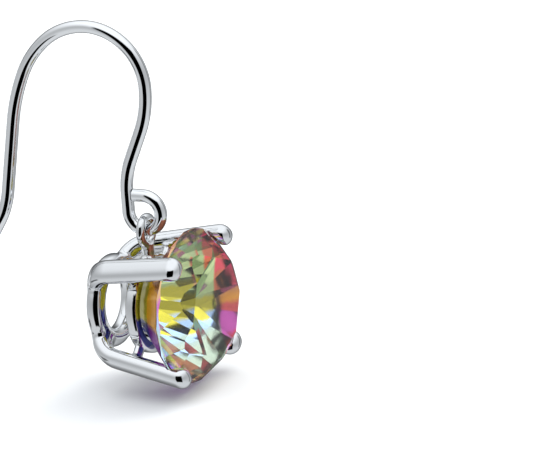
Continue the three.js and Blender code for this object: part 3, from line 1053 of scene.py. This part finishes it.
def band_ramp(tree, bands, height):
    """A colour ramp over heights of -1 to 1, flat in each band, with a short blend between two."""
    node = add_node(tree, "ShaderNodeValToRGB")
    stops = node.color_ramp.elements
    stops[0].position, stops[0].color = 0.0, (*seen(bands[0][1]), 1)
    stops.remove(stops[1])
    for below, band in zip(bands, bands[1:]):
        start = (band[0] + 1) / 2
        for place, tint in ((start - BAND_EDGE / 2, below[1]), (start + BAND_EDGE / 2, band[1])):
            stops.new(place).color = (*seen(tint), 1)
    tree.links.new(ramp(tree, height, -1, 1, 0, 1, "LINEAR"), node.inputs["Fac"])
    return node.outputs["Color"]


def band_height(tree, where, up, facet_number):
    """The height on the stone, from -1 to 1, with a slow wander and a small shift for each facet."""
    low, high = (DROP.z - STONE_RADIUS) * MM, (DROP.z + STONE_RADIUS) * MM
    centred = maths(tree, "SUBTRACT", noise(tree, where, WANDER_PER_MM, WANDER_DETAIL), 0.5)
    height = ramp(tree, up, low, high, -1, 1, "LINEAR")
    height = maths(tree, "ADD", height, maths(tree, "MULTIPLY", centred, WANDER))
    return maths(tree, "ADD", height, maths(tree, "MULTIPLY", facet_number, FACET_SHIFT))


def film_mirror(name, look):
    material = plain_material(name, (1, 1, 1), look["dull"])
    tree = material.node_tree
    shader = tree.nodes["Principled BSDF"]
    shader.inputs["Metallic"].default_value = look["metal"]
    where = add_node(tree, "ShaderNodeTexCoord").outputs["Object"]
    split = add_node(tree, "ShaderNodeSeparateXYZ")
    tree.links.new(where, split.inputs[0])
    cut = add_node(tree, "ShaderNodeAttribute", attribute_name="cut").outputs["Fac"]
    height = band_height(tree, where, split.outputs["Z"], cut)
    colour = band_ramp(tree, look["strips"][0], height)
    for edge, strip in zip(look["edges"], look["strips"][1:]):
        place = edge + (DROP.y if look["axis"] == "Y" else 0)
        start, end = (place - STRIP_BLEND) * MM, (place + STRIP_BLEND) * MM
        mix = add_node(tree, "ShaderNodeMix", data_type="RGBA")
        past = ramp(tree, split.outputs[look["axis"]], start, end, 0.0, 1.0)
        tree.links.new(past, mix.inputs["Factor"])
        tree.links.new(colour, mix.inputs["A"])
        tree.links.new(band_ramp(tree, strip, height), mix.inputs["B"])
        colour = mix.outputs["Result"]
    bright = add_node(tree, "ShaderNodeHueSaturation")
    tree.links.new(colour, bright.inputs["Color"])
    value = ramp(tree, cut, -1, 1, DARKEST_FACET, BRIGHTEST_FACET, "LINEAR")
    tree.links.new(value, bright.inputs["Value"])
    tree.links.new(bright.outputs["Color"], shader.inputs["Base Color"])
    return material


crown_material = clear_crown()
inner_film = film_mirror("film_from_inside", FILM_INSIDE)
print("materials:", crown_material.name, inner_film.name)

# %% [markdown]
# ### The finished stone
#
# The cut blank moves to its place in the setting, and its faces are sorted into crown and film. The
# attribute cut gives each facet of the film a number of its own between -1 and 1, which its material
# reads.

# %% The stone in its place
BACK_KINDS = ("main", "lower_girdle")
FACET_SCATTER = 2.4

stone_mesh = bpy.data.meshes.new("brilliant_stone")
for vertex in shape.verts:
    vertex.co = (vertex.co + DROP) * MM
cuts = []
for face in shape.faces:
    number = face[facet]
    kind = FACETS[number - 1]["kind"] if number else "girdle"
    face.material_index = 1 if kind in BACK_KINDS else 0
    cuts.append(math.sin(FACET_SCATTER * number) if kind in BACK_KINDS else 0.0)
shape.to_mesh(stone_mesh)
shape.free()
stone_mesh.materials.append(crown_material)
stone_mesh.materials.append(inner_film)
cut = stone_mesh.attributes.new("cut", "FLOAT", "FACE")
cut.data.foreach_set("value", cuts)
stone = bpy.data.objects.new("brilliant_stone", stone_mesh)
bpy.context.collection.objects.link(stone)
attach(stone, "drop")
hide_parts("stone")
print("brilliant_stone:", len(stone_mesh.polygons), "faces")

# %% [markdown]
# ### The film from behind
#
# Seen from behind, the same film has other colours than it shows through the stone, as thin films do.
# So it gets a piece of its own: a thin closed skin a hair outside the pavilion, copied from its facets.
# It starts a little behind the girdle, so that it stays within the stone's own outline.

# %% The film's outer side
FILM_GAP, FILM_THICK, FILM_SETBACK = 0.008, 0.012, 0.04
CUT_PRECISION = 1e-8  # metres


def film_skin():
    shape = bmesh.new()
    shape.from_mesh(stone_mesh)
    bmesh.ops.delete(shape, geom=[f for f in shape.faces if f.material_index == 0], context="FACES")
    bmesh.ops.bisect_plane(
        shape,
        geom=shape.verts[:] + shape.edges[:] + shape.faces[:],
        plane_co=Vector((0, DROP.y + GIRDLE + FILM_SETBACK, 0)) * MM,
        plane_no=(0, -1, 0),
        clear_outer=True,
        dist=CUT_PRECISION,
    )
    for vertex in shape.verts:
        vertex.co.y += FILM_GAP * MM
    bmesh.ops.solidify(shape, geom=shape.faces[:], thickness=-FILM_THICK * MM)
    bmesh.ops.recalc_face_normals(shape, faces=shape.faces)
    mesh = bpy.data.meshes.new("film_skin")
    for face in shape.faces:
        face.material_index = 0
    shape.to_mesh(mesh)
    shape.free()
    mesh.materials.append(film_mirror("film_from_outside", FILM_OUTSIDE))
    return mesh


skin_piece = bpy.data.objects.new("film_skin", film_skin())
bpy.context.collection.objects.link(skin_piece)
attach(skin_piece, "drop")
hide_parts("stone")
print("film_skin:", len(skin_piece.data.polygons), "faces")

# %% [markdown]
# ## The size
#
# Last, the size of the whole earring is checked against the CAD: the pieces that replace its parts
# should fill the same box.

# %% The size, before and after
now_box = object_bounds()
for name, box in (("CAD", cad_box), ("scene", now_box)):
    print(name, [[round(float(v) / MM, 3) for v in row] for row in box])
